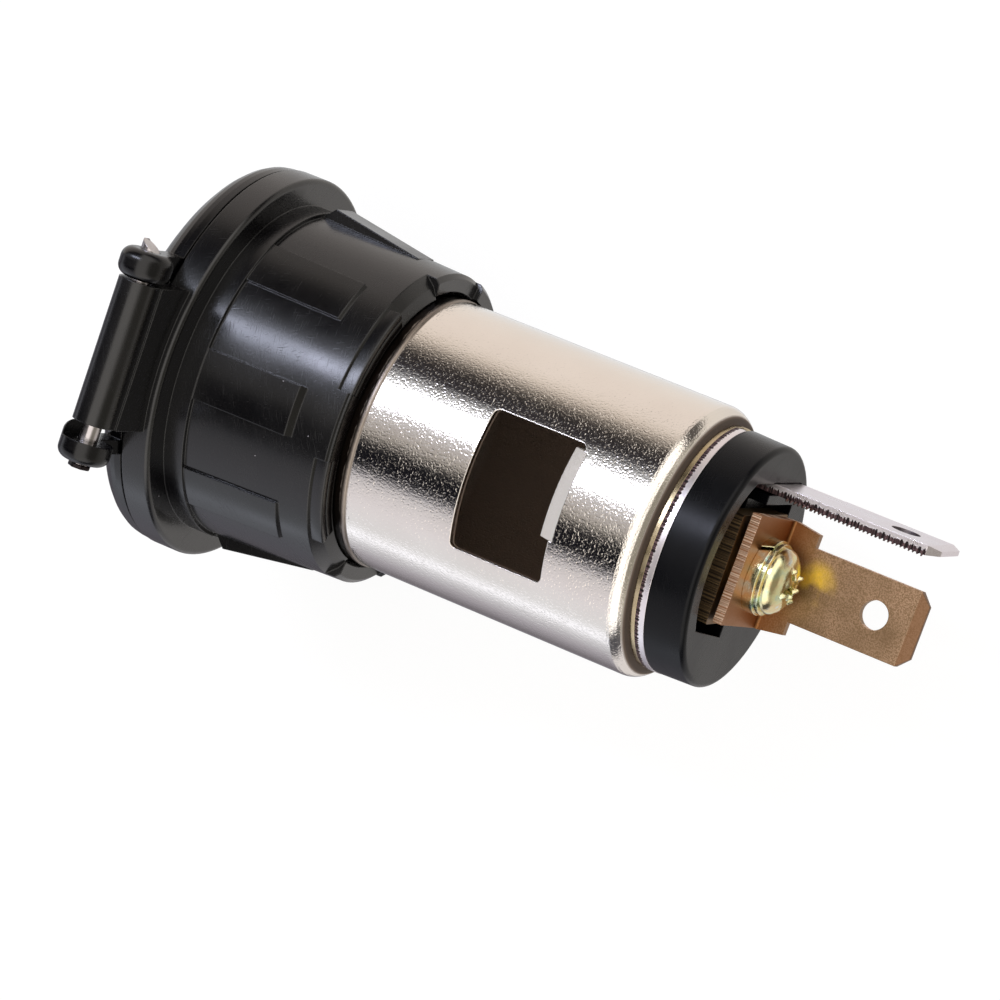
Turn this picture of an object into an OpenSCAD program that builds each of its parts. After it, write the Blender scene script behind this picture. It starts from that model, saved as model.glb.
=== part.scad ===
// Panel-mounted 12 V power socket with a hinged cover.
// The plug axis lies along Y: -Y is the mouth and its cover, +Y the terminals, +Z the hinge side.
// The origin is on the plug axis, in the plane where the flange's back face seats on the panel.

/* [Housing] */
// How far the flange stands out over the panel hole
flange_out = 2.25; // [2.1:0.05:3.5]
// Thickness of the flange
flange_t = 2.5; // [2.3:0.1:3]
// Rounding of the flange's rear rim
flange_round = 0.4; // [0.2:0.1:0.8]
// Wall between the sleeve's seat and the register that centres the socket in the panel hole
register_wall = 2.625; // [2.6:0.025:3.1]
// Length of the register
register_len = 1.8; // [1.4:0.1:2]
// Wall of the collar next to the register
collar_wall = 2.325; // [2.2:0.025:2.5]
// Wall of the collar at its rear end
collar_end_wall = 1.775; // [1.6:0.025:1.95]
// Length of the collar behind the panel
collar_len = 14.5; // [13.5:0.5:16]
// Bevel of the collar's rear edge
collar_bevel = 0.35; // [0.2:0.05:0.6]
// Radial room between the sleeve and the collar's bore
sleeve_fit = 0.1; // [0.05:0.01:0.15]
// Length of the guides moulded on the collar, from the panel
guide_len = 10.4; // [8:0.1:11]
// Angle that each guide spans
guide_angle = 17.4; // [14:0.2:20]
// Height of the top and bottom guides at their rear end
guide_h = 0.45; // [0.3:0.05:0.6]
// Height of the four shallow guides
shallow_h = 0.2; // [0.15:0.05:0.3]
// Height of the snap wedges where they grip the panel
wedge_h = 0.95; // [0.7:0.05:1.2]
// Width of the snap wedges
wedge_w = 3; // [2:0.1:4]
// Distance from the flange to the snap wedges
wedge_from = 1.8; // [1.4:0.1:3]
// Length of the lead at the snap wedges' front end
wedge_lead = 0.9; // [0.6:0.1:1.2]
// Distance from the flange to the point where the snap wedges run out
wedge_to = 11; // [10:0.5:12]
// Depth of the bevel between the top land and the side lands of the collar's rear end
bevel_depth = 0.45; // [0.3:0.05:0.8]
// Width of that bevel across the collar's wall
bevel_w = 1; // [0.6:0.05:1.3]
// Angle that the top land spans
land_angle = 25; // [20:1:35]
// Angle that the lands at the sides span
side_land_angle = 34; // [30:1:50]
// Lead at the rear end of the sleeve's seat, at the sides and below
seat_lead = 0.35; // [0.2:0.05:0.6]
// How far the lower part of the collar reaches past its side lands
skirt_len = 0.5; // [0.3:0.1:0.8]

/* [Sleeve] */
// Inner radius of the sleeve, which takes the plug
bore_r = 10.725; // [10.5:0.025:11]
// Wall of the drawn sleeve
sleeve_wall = 0.8; // [0.7:0.05:0.85]
// Distance from the panel plane to the sleeve's closed end
sleeve_end = 41.1; // [39:0.1:46]
// Outer radius of the drawn shoulder
shoulder_r = 1.5; // [1.2:0.1:2]
// Width of the lip turned out at the mouth
lip_w = 1.1; // [0.9:0.1:1.2]
// Radius of the bend that leads from the lip into the bore
mouth_bend = 0.9; // [0.6:0.1:1]
// How far the lip lies below the flange's front face
lip_set = 0.15; // [0.1:0.05:0.3]
// Height of the rolled bead that holds the sleeve behind the collar
bead_h = 0.1; // [0.06:0.01:0.15]
// Length of that bead
bead_len = 0.5; // [0.4:0.1:1]
// Distance from the panel plane to the near edge of the window
window_y = 25.25; // [22:0.05:26]
// Length of the window along the sleeve
window_len = 8.3; // [7:0.1:9]
// Width of the window across the sleeve
window_w = 11.6; // [10:0.1:12.5]
// Corner radius of the window
window_round = 0.5; // [0.3:0.1:1.4]
// Width of the tongue folded in from the window's rear edge
tongue_w = 7.4; // [6:0.1:9]
// Distance from the plug axis to the tongue's outer side edge
tongue_side = 5.2; // [4.6:0.1:5.5]
// How far behind the window's rear edge the tongue is folded
tongue_root = 0.3; // [0.1:0.1:0.6]
// Length of the folded tongue
tongue_len = 1.7; // [1.4:0.1:3]
// Lean of the tongue towards the mouth
tongue_lean = 58; // [15:1:60]

/* [Cover] */
// How far the cover's rim lies inside the flange's
cover_inset = 0.1; // [0:0.05:0.5]
// Length of the straight part of the rim
cover_rim = 0.6; // [0.4:0.1:1]
// Rise of the cover's dome above its rim
dome_h = 4.7; // [4.2:0.1:6]
// Wall of the cover
cover_wall = 1.5; // [1.2:0.1:1.8]
// Gap of the parting line between cover and flange
parting = 0.2; // [0.15:0.05:0.3]
// Clearance round the spigot that closes the sleeve's mouth, on the radius
spigot_gap = 0.525; // [0.425:0.05:0.925]
// How far the spigot reaches past the cover's rim
spigot_in = 0.9; // [0.6:0.1:1]
// Wall of the spigot
spigot_wall = 1; // [0.8:0.1:1.4]
// Width of the finger lip opposite the hinge
finger_w = 9; // [7:0.5:11]
// How far the finger lip stands out
finger_out = 1.5; // [1:0.1:1.8]
// Thickness of the finger lip
finger_t = 1.1; // [0.8:0.1:1.4]

/* [Hinge] */
// Height of the hinge axis above the flange's edge
hinge_rise = 3.9; // [3.8:0.1:5.5]
// Outer radius of the barrel
barrel_r = 1.75; // [1.6:0.05:1.9]
// Width of the barrel and of the tab that carries it
barrel_w = 11.9; // [10:0.1:13]
// Diameter of the hinge pin
pin_d = 1.6; // [1.4:0.1:1.7]
// Clearance of the pin in the barrel and the knuckles, on the radius
pin_run = 0.05; // [0.03:0.01:0.08]
// Radius of the pin's head
pin_head_r = 0.95; // [0.9:0.05:1.1]
// Thickness of the pin's head
pin_head_t = 0.4; // [0.3:0.05:0.5]
// End play between the pin's head and the knuckle
pin_head_play = 0.1; // [0.05:0.05:0.15]
// How far the sheared end of the pin stands out
pin_proud = 0.8; // [0.5:0.1:1]
// Slant of the pin's sheared end
pin_slant = 30; // [10:5:35]
// Radius of the knuckles
knuckle_r = 2.15; // [2:0.05:2.3]
// Rounding of the knuckles' ends
knuckle_round = 0.9; // [0.6:0.1:1]
// Side play between the barrel and each knuckle
knuckle_play = 0.15; // [0.1:0.05:0.3]
// Width of the plain knuckle
plain_w = 2.4; // [2.2:0.1:3]
// Width of the notched knuckle
notched_w = 3.1; // [2.9:0.1:3.6]
// Depth of the notch that bares the pin beside the barrel
notch_depth = 1.3; // [0.8:0.1:1.5]
// Wall of the notched knuckle in front of the notch
notch_wall = 0.6; // [0.4:0.1:0.8]
// Width of the cover's arm on the plain side
plain_arm_w = 2; // [1.6:0.1:2.2]
// Width of the cover's arm on the notched side
notched_arm_w = 1.2; // [1:0.1:1.5]
// Thickness of the cover's arms
arm_t = 1.7; // [1.4:0.1:1.9]
// Thickness of the tab from the flange to the barrel
tab_t = 1.7; // [1.4:0.1:1.8]
// How far the tab's back face lies in front of the panel plane
tab_set = 0.7; // [0.6:0.05:0.8]

/* [Rear end] */
// Thickness of the brass-toned ring behind the sleeve
shim_t = 0.4; // [0.3:0.05:0.5]
// How far the two rings behind the sleeve lie inside its outer wall
ring_inset = 1.175; // [0.925:0.05:1.425]
// Thickness of the sheet of both terminals
blade_t = 0.8; // [0.75:0.01:0.85]
// Width of both blades
blade_w = 6.3; // [6.2:0.05:6.4]
// How far the end cap's rear face lies inside the sleeve's outer wall
cap_inset = 1.325; // [1.125:0.05:1.525]
// Draft of the end cap, on the radius
cap_draft = 0.1; // [0.05:0.05:0.15]
// Thickness of the end cap
cap_t = 3.55; // [3.4:0.05:4.5]
// Rounding of the end cap's rear edge
cap_round = 0.45; // [0.3:0.05:0.7]
// Depth of the pocket in the end cap
pocket_depth = 2.3; // [2:0.1:2.5]
// Wall of the end cap behind the pocket's upper side
pocket_rim = 1.8; // [1.4:0.1:2]
// Height above the plug axis where the pocket widens
pocket_step = 0.8; // [0.4:0.1:1.2]
// Reach of the wide part of the pocket on the ground blade's side
pocket_wide = 7.15; // [6.8:0.05:7.3]
// Reach of the wide part on the other side, where it starts
pocket_near = 5.8; // [5.4:0.1:6.2]
// Taper of that side up to the pocket's upper wall
pocket_taper = 0.9; // [0.5:0.1:1.2]
// Clearance round the contact plate in its seat
plate_fit = 0.1; // [0.05:0.05:0.2]
// Room beside the contact plate on the ground blade's side
plate_room = 0.75; // [0.5:0.05:0.75]

/* [Terminals] */
// Width of the live terminal's foot
foot_w = 9.15; // [8.8:0.05:9.4]
// Reach of the foot above the screw
foot_up = 4.5; // [4:0.1:5]
// Distance from the screw's axis to the inside of the bend
bend_in = 3.4; // [3.3:0.1:3.8]
// Inside radius of the bends
bend_r = 0.25; // [0.2:0.05:0.25]
// Turn of the live terminal round its screw, in degrees
live_turn = 3.5; // [0:0.5:6]
// Offset of the live terminal in its screw hole
live_shift = 0.12; // [0:0.01:0.14]
// Width of the live terminal at its shoulders
shoulder_w = 8.5; // [8:0.1:8.7]
// Height of the shoulders above the foot
shoulder_up = 2.4; // [2:0.1:3]
// Length of the blades beyond their shoulders
blade_len = 10.5; // [9.5:0.1:11.5]
// Width of the chamfers at the blades' tips
tip_chamfer = 0.95; // [0.6:0.05:1.2]
// Thickness of the blades at their coined tips
tip_t = 0.4; // [0.3:0.05:0.6]
// Diameter of the hole in the blades
blade_hole_d = 2.4; // [1.6:0.1:2.6]
// Distance of that hole from the tip
blade_hole_in = 4; // [3.8:0.1:4.6]
// Distance from the plug axis to the ground blade's outer face
ground_x = 7.17; // [7.12:0.01:7.3]
// How far the ground blade's middle lies below the plug axis
ground_drop = 2.5; // [2.3:0.1:2.7]
// Width of the ground terminal's leg
leg_w = 5.9; // [5.6:0.1:6]
// Height of the ground blade's shoulders above the end cap
leg_up = 4; // [3.4:0.1:4.6]
// Side clearance of the leg in the end cap's slot
leg_fit = 0.1; // [0.05:0.05:0.2]
// Width of the end cap's slot for the leg
slot_room = 1.1; // [1.05:0.01:1.12]
// Width of the contact plate
plate_w = 9.1; // [8.8:0.1:9.2]
// Reach of the contact plate above the screw
plate_up = 5; // [4.6:0.1:5.4]
// Reach of the contact plate below the screw
plate_down = 5; // [4.4:0.1:5.4]
// Thickness of the contact plate
plate_t = 1.6; // [1.4:0.1:1.7]
// Corner radius of the contact plate
plate_round = 0.25; // [0.2:0.05:0.6]

/* [Screw and contact] */
// Diameter of the terminal screw
screw_d = 3; // [2.9:0.05:3]
// Clearance of the screw in its rivet, on the radius
thread_fit = 0.03; // [0.02:0.01:0.05]
// Diameter of the screw's head
head_d = 5.5; // [5.2:0.1:5.8]
// Height of the screw's head
head_h = 1.65; // [1.5:0.05:2.2]
// Height of the domed part of that head
head_crown = 1.4; // [1:0.05:1.45]
// Width of the cross recess's wings
recess_w = 0.8; // [0.7:0.05:0.9]
// Span of the cross recess
recess_span = 3.2; // [2.8:0.1:3.4]
// Depth of the cross recess
recess_depth = 1.2; // [0.9:0.1:1.3]
// Length of the screw under its head
screw_len = 6; // [5:0.1:6.4]
// Diameter of the hole in the foot and of the flat washer
screw_hole_d = 3.3; // [3.2:0.05:3.4]
// Thickness of the spring washer
spring_t = 0.95; // [0.7:0.05:1]
// Outer diameter of the spring washer
spring_d = 6.3; // [5.8:0.1:6.4]
// Width of the split in the spring washer
spring_split = 0.4; // [0.3:0.1:0.8]
// Thickness of the flat washer
washer_t = 0.4; // [0.3:0.05:0.5]
// Outer diameter of the flat washer
washer_d = 6; // [5.8:0.1:6.4]
// Outer radius of the tubular rivet
rivet_r = 2.2; // [2.1:0.05:2.4]
// Radius of the rivet's swaged end under the foot
swage_r = 3; // [2.8:0.1:3.2]
// Height of the swaged end
swage_h = 0.35; // [0.25:0.05:0.5]
// Height of the rivet's domed head, which the plug's tip meets
button_h = 1.2; // [1:0.1:1.5]
// Radius of that head
button_r = 3.2; // [3:0.1:3.4]
// Clearance round the rivet, on the radius
rivet_fit = 0.05; // [0.05:0.01:0.1]
// Radius of the centre contact
contact_r = 5; // [4.5:0.1:5.5]
// Sheet thickness of the centre contact
contact_t = 0.5; // [0.4:0.05:0.7]
// Forward reach of the centre contact's dished rim
contact_dish = 0.6; // [0.4:0.1:0.9]
// Gap round the insulating disc inside the sleeve
disc_gap = 2.125; // [2.025:0.05:2.725]
// Thickness of the insulating disc
disc_t = 2; // [1.6:0.1:2.6]
// Wall of the disc's spigot round the rivet
spigot_tube = 1.1; // [0.9:0.1:1.2]
// Clearance round that spigot, on the radius
spigot_fit = 0.1; // [0.05:0.05:0.15]

/* [Hidden] */
$fn = 96;
front_y = -flange_t;
cover_y = front_y - parting;
dome_y = cover_y - cover_rim;
hinge_y = front_y - parting / 2;
lip_y = front_y + lip_set;
sleeve_r = bore_r + sleeve_wall;
seat_r = sleeve_r + sleeve_fit;
lip_r = sleeve_r + lip_w;
register_r = seat_r + register_wall;
collar_root_r = seat_r + collar_wall;
collar_end_r = seat_r + collar_end_wall;
flange_r = register_r + flange_out;
cover_r = flange_r - cover_inset;
hinge_z = flange_r + hinge_rise;
spigot_r = bore_r - spigot_gap;
ring_r = sleeve_r - ring_inset;
cap_r = sleeve_r - cap_inset;
pocket_r = cap_r - pocket_rim;
disc_r = bore_r - disc_gap;
window_end = window_y + window_len;
notched_x = barrel_w / 2 + knuckle_play;
plain_x = -notched_x - plain_w;
pin_hole_r = pin_d / 2 + pin_run;
floor_y = sleeve_end - sleeve_wall;
disc_y = floor_y - disc_t;
contact_y = disc_y - contact_t;
ground_y = sleeve_end + shim_t;
cap_y = ground_y + blade_t;
cap_face = cap_y + cap_t;
plate_y = cap_face - plate_t;
foot_y = cap_face + swage_h;
foot_top = foot_y + blade_t;
head_y = foot_top + washer_t + spring_t;
leg_top = cap_face + leg_up;
rivet_hole_r = rivet_r + rivet_fit;
tube_r = rivet_hole_r + spigot_tube;
tube_hole_r = tube_r + spigot_fit;
thread_r = screw_d / 2 + thread_fit;
over = 1;

// Radius of the collar at a distance behind the panel plane.
function collar_at(y) = collar_root_r + (collar_end_r - collar_root_r) * y / collar_len;

// Points of an elliptical arc round a centre.
function arc(cx, cy, rx, ry, from, to, steps = 8) =
    [for (i = [0:steps]) let (a = from + (to - from) * i / steps) [cx + rx * cos(a), cy + ry * sin(a)]];

// A solid turned about the plug axis from points given as [radius, y].
module turned(points) {
    rotate([-90, 0, 0]) rotate_extrude() polygon(points);
}

// A disc about the plug axis that starts at y.
module disc(y, len, r) {
    translate([0, y, 0]) rotate([-90, 0, 0]) cylinder(h = len, r = r);
}

// A ring about the plug axis that starts at y.
module ring(y, len, r, hole) {
    difference() {
        disc(y, len, r);
        disc(y - over, len + 2 * over, hole);
    }
}

// A sector about the plug axis, with its middle at an angle counted from +Z towards +X.
module sector(angle, span, y, len) {
    reach = 2 * flange_r;
    edge = [for (i = [-2:2]) let (a = angle + span * i / 4) [reach * sin(a), -reach * cos(a)]];
    translate([0, y, 0]) rotate([-90, 0, 0]) linear_extrude(height = len)
        polygon(concat([[0, 0]], edge));
}

// A rod along X on the hinge axis.
module hinge_rod(from, to, r) {
    translate([from, hinge_y, hinge_z]) rotate([0, 90, 0]) cylinder(h = to - from, r = r, $fn = 48);
}

// A solid turned about the hinge axis from points given as [radius, x].
module hinge_turned(points) {
    translate([0, hinge_y, hinge_z]) rotate([0, 90, 0]) rotate_extrude($fn = 48) polygon(points);
}

// A guide on the collar: part of a wider cone, with a steep rear end.
module guide(angle, front_r, rear_h) {
    inside = seat_r + (collar_end_r - seat_r) / 2;
    intersection() {
        turned([[inside, 0], [front_r, 0], [collar_at(guide_len) + rear_h, guide_len],
                [collar_at(guide_len), guide_len + rear_h], [inside, guide_len + rear_h]]);
        sector(angle, guide_angle, -over, guide_len + 3 * over);
    }
}

// A snap wedge on one side of the collar: highest near the flange, run out at its far end.
module snap_wedge(side) {
    top_r = collar_at(wedge_from) + wedge_h;
    inside = seat_r + (collar_end_r - seat_r) / 2;
    translate([0, 0, -wedge_w / 2]) linear_extrude(height = wedge_w)
        polygon([[side * inside, wedge_from], [side * collar_at(wedge_from), wedge_from],
                 [side * top_r, wedge_from + wedge_lead], [side * collar_at(wedge_to), wedge_to],
                 [side * inside, wedge_to]]);
}

// The collar's cone up to a distance behind the panel plane, with its bevelled rear edge.
module collar_cone(from, to) {
    turned([[0, from], [collar_at(from), from], [collar_at(to - collar_bevel), to - collar_bevel],
            [collar_at(to) - collar_bevel, to], [0, to]]);
}

module housing() {
    tab_root = 3;
    tab_z = flange_r - tab_root;
    skirt_end = collar_len + skirt_len;
    ridge_r = seat_r + bevel_w;
    ridge_y = collar_len - bevel_depth;
    clear_r = collar_root_r + over;
    color([0.16, 0.16, 0.18]) difference() {
        union() {
            turned(concat([[0, front_y], [flange_r, front_y]],
                          arc(flange_r - flange_round, -flange_round, flange_round, flange_round, 0, 90),
                          [[0, 0]]));
            disc(-over, over + register_len, register_r);
            collar_cone(-over, collar_len);
            intersection() {
                collar_cone(collar_len - over, skirt_end);
                sector(180, 180 - side_land_angle, collar_len - over, skirt_len + 2 * over);
            }
            for (a = [0, 180]) guide(a, register_r, guide_h);
            for (a = [-43.5, 43.5, 136.5, 223.5]) guide(a, collar_root_r + shallow_h, shallow_h);
            for (side = [-1, 1]) snap_wedge(side);
            // tab and barrel of the hinge
            translate([-barrel_w / 2, -tab_set - tab_t, tab_z])
                cube([barrel_w, tab_t, hinge_z - barrel_r / 4 - tab_z]);
            hinge_rod(-barrel_w / 2, barrel_w / 2, barrel_r);
        }
        // bore for the sleeve, and the seat of its lip
        disc(front_y - over, skirt_end - front_y + 2 * over, seat_r);
        disc(front_y - over, over + lip_set + sleeve_wall, lip_r + sleeve_fit);
        // lead of that bore at the sides and below
        difference() {
            turned([[0, collar_len - seat_lead], [seat_r, collar_len - seat_lead],
                    [seat_r + seat_lead, collar_len], [seat_r + seat_lead, skirt_end + over],
                    [0, skirt_end + over]]);
            sector(0, 180 - side_land_angle, collar_len - 2 * over, skirt_len + 4 * over);
        }
        // bevel of the rear end between the top land and the side lands
        difference() {
            turned([[seat_r, collar_len], [ridge_r, ridge_y], [clear_r, ridge_y - clear_r + ridge_r],
                    [clear_r, collar_len + over], [seat_r, collar_len + over]]);
            sector(0, land_angle, collar_len - 4 * over, 6 * over);
            sector(180, 180 + side_land_angle, collar_len - 4 * over, 6 * over);
        }
        hinge_rod(-barrel_w, barrel_w, pin_hole_r);
    }
}

// One knuckle of the cover with rounded ends, from its left side.
module knuckle(from, width) {
    flat = knuckle_r - knuckle_round;
    hinge_turned(concat([[0, from]],
                        arc(flat, from + knuckle_round, knuckle_round, knuckle_round, -90, 0),
                        arc(flat, from + width - knuckle_round, knuckle_round, knuckle_round, 0, 90),
                        [[0, from + width]]));
}

// The arm that carries a knuckle from the cover's rim, from its left side.
module arm(from, width) {
    far = max(abs(from), abs(from + width));
    foot = sqrt(pow(cover_r, 2) - pow(far, 2)) - 1;
    translate([from, cover_y - arm_t, foot]) cube([width, arm_t, hinge_z - foot]);
}

module lid() {
    inside_r = cover_r - cover_wall;
    spigot_y = dome_y - (dome_h - cover_wall / 2) * sqrt(1 - pow(spigot_r / cover_r, 2));
    color([0.17, 0.17, 0.19]) difference() {
        union() {
            difference() {
                turned(concat([[0, cover_y], [cover_r, cover_y]],
                              arc(0, dome_y, cover_r, dome_h, 0, -90, 16)));
                turned(concat([[0, cover_y + over], [inside_r, cover_y + over]],
                              arc(0, dome_y, inside_r, dome_h - cover_wall, 0, -90, 16)));
            }
            ring(spigot_y, cover_y + spigot_in - spigot_y, spigot_r, spigot_r - spigot_wall);
            // finger lip
            intersection() {
                ring(cover_y - finger_t, finger_t, cover_r + finger_out, inside_r + cover_wall / 2);
                translate([-finger_w / 2, cover_y - 2 * finger_t, -2 * cover_r])
                    cube([finger_w, 3 * finger_t, 2 * cover_r]);
            }
            arm(notched_x + notch_depth, notched_arm_w);
            arm(plain_x + plain_w - plain_arm_w, plain_arm_w);
            knuckle(notched_x, notched_w);
            knuckle(plain_x, plain_w);
        }
        translate([notched_x - over, hinge_y - knuckle_r + notch_wall, hinge_z - 2 * knuckle_r])
            cube([notch_depth + over, 2 * knuckle_r, 4 * knuckle_r]);
        hinge_rod(plain_x - over, notched_x + notched_w + over, pin_hole_r);
    }
}

// The hinge pin: a headed pin whose other end is sheared at a slant.
module hinge_pin() {
    r = pin_d / 2;
    from = plain_x - pin_proud;
    head_x = notched_x + notched_w + pin_head_play;
    color([0.75, 0.75, 0.77]) difference() {
        union() {
            hinge_rod(from, head_x + pin_head_t, r);
            hinge_rod(head_x, head_x + pin_head_t, pin_head_r);
        }
        translate([from, hinge_y - r, hinge_z]) rotate([0, 0, -pin_slant])
            translate([-4 * r, -4 * r, -2 * r]) cube([4 * r, 8 * r, 4 * r]);
    }
}

// The window: a slot with rounded corners, cut straight down into the sleeve.
module window_cut() {
    half = window_w / 2 - window_round;
    linear_extrude(height = 2 * sleeve_r) {
        translate([-half, window_y]) square([2 * half, window_len]);
        translate([-window_w / 2, window_y + window_round])
            square([window_w, window_len - 2 * window_round]);
        for (x = [-half, half]) for (y = [window_y + window_round, window_end - window_round])
            translate([x, y]) circle(r = window_round, $fn = 32);
        translate([-tongue_side, window_end - tongue_root]) square([tongue_w, 2 * tongue_root]);
    }
}

// The tongue, from its root in the window's rear edge to its tip.
module tongue() {
    skin = 0.04;
    root_r = sleeve_r - skin;
    root_y = window_end + tongue_root;
    inward = cos(tongue_lean);
    forward = sin(tongue_lean);
    tip_r = root_r - tongue_len * inward;
    tip_y = root_y - tongue_len * forward;
    back_r = tip_r - (sleeve_wall - skin) * forward;
    back_y = tip_y + (sleeve_wall - skin) * inward;
    meet_r = bore_r + sleeve_wall / 2;
    meet_y = back_y + (meet_r - back_r) * forward / inward;
    intersection() {
        turned([[root_r, meet_y], [root_r, root_y], [tip_r, tip_y], [back_r, back_y],
                [meet_r, meet_y]]);
        translate([-tongue_side, 0, 0]) cube([tongue_w, sleeve_end, 2 * sleeve_r]);
    }
}

module sleeve() {
    bend = shoulder_r - sleeve_wall;
    bead_gap = 0.1;
    bead_y = collar_len + skirt_len + bead_gap + bead_len / 2;
    color([0.84, 0.82, 0.79]) {
        difference() {
            turned(concat([[tube_hole_r, sleeve_end], [tube_hole_r, floor_y]],
                          arc(bore_r - bend, floor_y - bend, bend, bend, 90, 0),
                          arc(bore_r, bead_y, bead_h, bead_len / 2, 90, -90, 6),
                          arc(bore_r + mouth_bend, lip_y + mouth_bend, mouth_bend, mouth_bend, 180, 270),
                          [[lip_r, lip_y], [lip_r, lip_y + sleeve_wall],
                           [sleeve_r, lip_y + sleeve_wall]],
                          arc(sleeve_r, bead_y, bead_h, bead_len / 2, -90, 90, 6),
                          arc(sleeve_r - shoulder_r, sleeve_end - shoulder_r,
                              shoulder_r, shoulder_r, 0, 90)));
            window_cut();
        }
        tongue();
    }
}

module shim_ring() {
    inset = 0.05;
    color([0.78, 0.66, 0.42]) ring(sleeve_end, shim_t, ring_r - inset, tube_hole_r);
}

// A blade that stands along +Y from its shoulders, centred on X, with its back face at z.
module blade(y, z) {
    half = blade_w / 2;
    tip = y + blade_len;
    coined = (blade_t - tip_t) / 2;
    intersection() {
        translate([0, 0, z]) linear_extrude(height = blade_t) difference() {
            polygon([[-half, y], [half, y], [half, tip - tip_chamfer], [half - tip_chamfer, tip],
                     [tip_chamfer - half, tip], [-half, tip - tip_chamfer]]);
            translate([0, tip - blade_hole_in]) circle(r = blade_hole_d / 2, $fn = 32);
        }
        rotate([0, -90, 0]) translate([0, 0, -blade_w]) linear_extrude(height = 2 * blade_w)
            polygon([[z, y], [z + blade_t, y], [z + blade_t, tip - tip_chamfer],
                     [z + blade_t - coined, tip], [z + coined, tip], [z, tip - tip_chamfer]]);
    }
}

// An angle bent from sheet: a strip at y that runs towards -Z and turns up along +Y at its bend.
module angle_strip(y, z_end, z_bend, top, width) {
    outer = bend_r + blade_t;
    z_out = z_bend - blade_t;
    rotate([0, -90, 0]) translate([0, 0, -width / 2]) linear_extrude(height = width)
        polygon(concat([[z_end, y + blade_t], [z_end, y]],
                       arc(z_out + outer, y + outer, outer, outer, -90, -180),
                       [[z_out, top], [z_bend, top]],
                       arc(z_bend + bend_r, y + blade_t + bend_r, bend_r, bend_r, 180, 270)));
}

module ground_terminal() {
    relief = 0.6;
    notch_w = leg_w + 2 * relief;
    color([0.82, 0.79, 0.81]) {
        difference() {
            ring(ground_y, blade_t, ring_r, tube_hole_r);
            translate([-2 * ring_r, ground_y - over, -ground_drop - notch_w / 2])
                cube([2 * ring_r - ground_x + blade_t + bend_r, blade_t + 2 * over, notch_w]);
        }
        // leg and blade, turned from -Z to the -X side
        translate([0, 0, -ground_drop]) rotate([0, 90, 0]) {
            angle_strip(ground_y, -ground_x / 2, blade_t - ground_x, leg_top, leg_w);
            blade(leg_top, -ground_x);
        }
    }
}

module end_cap() {
    slot_z = -ground_drop - leg_w / 2 - leg_fit;
    wide_y = cap_face - pocket_depth;
    seat_side = plate_w / 2 + plate_fit;
    seat_low = plate_down + plate_fit;
    color([0.17, 0.17, 0.2]) difference() {
        turned(concat([[0, cap_y], [cap_r + cap_draft, cap_y]],
                      arc(cap_r - cap_round, cap_face - cap_round, cap_round, cap_round, 0, 90),
                      [[0, cap_face]]));
        disc(cap_y - over, cap_t + 2 * over, rivet_hole_r);
        // seat of the contact plate
        translate([-seat_side - plate_room, plate_y, -seat_low])
            cube([2 * seat_side + plate_room, plate_t + over, seat_low + pocket_step + over]);
        // wide part of the pocket, round the raised seat
        difference() {
            intersection() {
                disc(wide_y, pocket_depth + over, pocket_r);
                translate([0, cap_face + 2 * over, 0]) rotate([90, 0, 0])
                    linear_extrude(height = pocket_depth + 4 * over)
                        polygon([[-pocket_wide, pocket_step], [pocket_near, pocket_step],
                                 [pocket_near - pocket_taper, pocket_r], [-pocket_wide, pocket_r]]);
            }
            translate([-plate_w / 2, wide_y - over, -over])
                cube([plate_w, plate_y - wide_y + over, plate_up + over - plate_round / 2]);
        }
        // slot for the ground terminal's leg
        translate([-ground_x - leg_fit, cap_y - over, slot_z])
            cube([slot_room, cap_t + 2 * over, pocket_step - slot_z]);
    }
}

module contact_plate() {
    half = plate_w / 2 - plate_round;
    color([0.72, 0.55, 0.3]) difference() {
        translate([0, cap_face, 0]) rotate([90, 0, 0]) linear_extrude(height = plate_t) {
            translate([-half, -plate_down]) square([2 * half, plate_up + plate_down]);
            translate([-plate_w / 2, plate_round - plate_down])
                square([plate_w, plate_up + plate_down - 2 * plate_round]);
            for (x = [-half, half]) for (z = [plate_round - plate_down, plate_up - plate_round])
                translate([x, z]) circle(r = plate_round, $fn = 32);
        }
        disc(plate_y - over, plate_t + 2 * over, rivet_hole_r);
    }
}

module live_terminal() {
    bend_top = foot_top + bend_r;
    shoulder_y = foot_top + shoulder_up;
    color([0.76, 0.57, 0.31]) translate([-live_shift, 0, 0]) rotate([0, -live_turn, 0]) difference() {
        union() {
            angle_strip(foot_y, foot_up, -bend_in, bend_top, foot_w);
            translate([0, 0, -bend_in - blade_t]) linear_extrude(height = blade_t)
                polygon([[-foot_w / 2, bend_top], [foot_w / 2, bend_top],
                         [shoulder_w / 2, shoulder_y], [-shoulder_w / 2, shoulder_y]]);
            blade(shoulder_y, -bend_in - blade_t);
        }
        disc(foot_y - over, blade_t + 2 * over, screw_hole_d / 2);
    }
}

module spring_washer() {
    split_turn = -50;
    split_slant = 25;
    color([0.78, 0.8, 0.66]) difference() {
        ring(foot_top, spring_t, spring_d / 2, screw_hole_d / 2);
        rotate([0, split_turn, 0]) translate([0, foot_top + spring_t / 2, spring_d / 2])
            rotate([0, 0, split_slant])
                cube([spring_split, 4 * spring_t, spring_d - screw_hole_d / 2], center = true);
    }
}

module flat_washer() {
    color([0.8, 0.81, 0.68]) ring(foot_top + spring_t, washer_t, washer_d / 2, screw_hole_d / 2);
}

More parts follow.
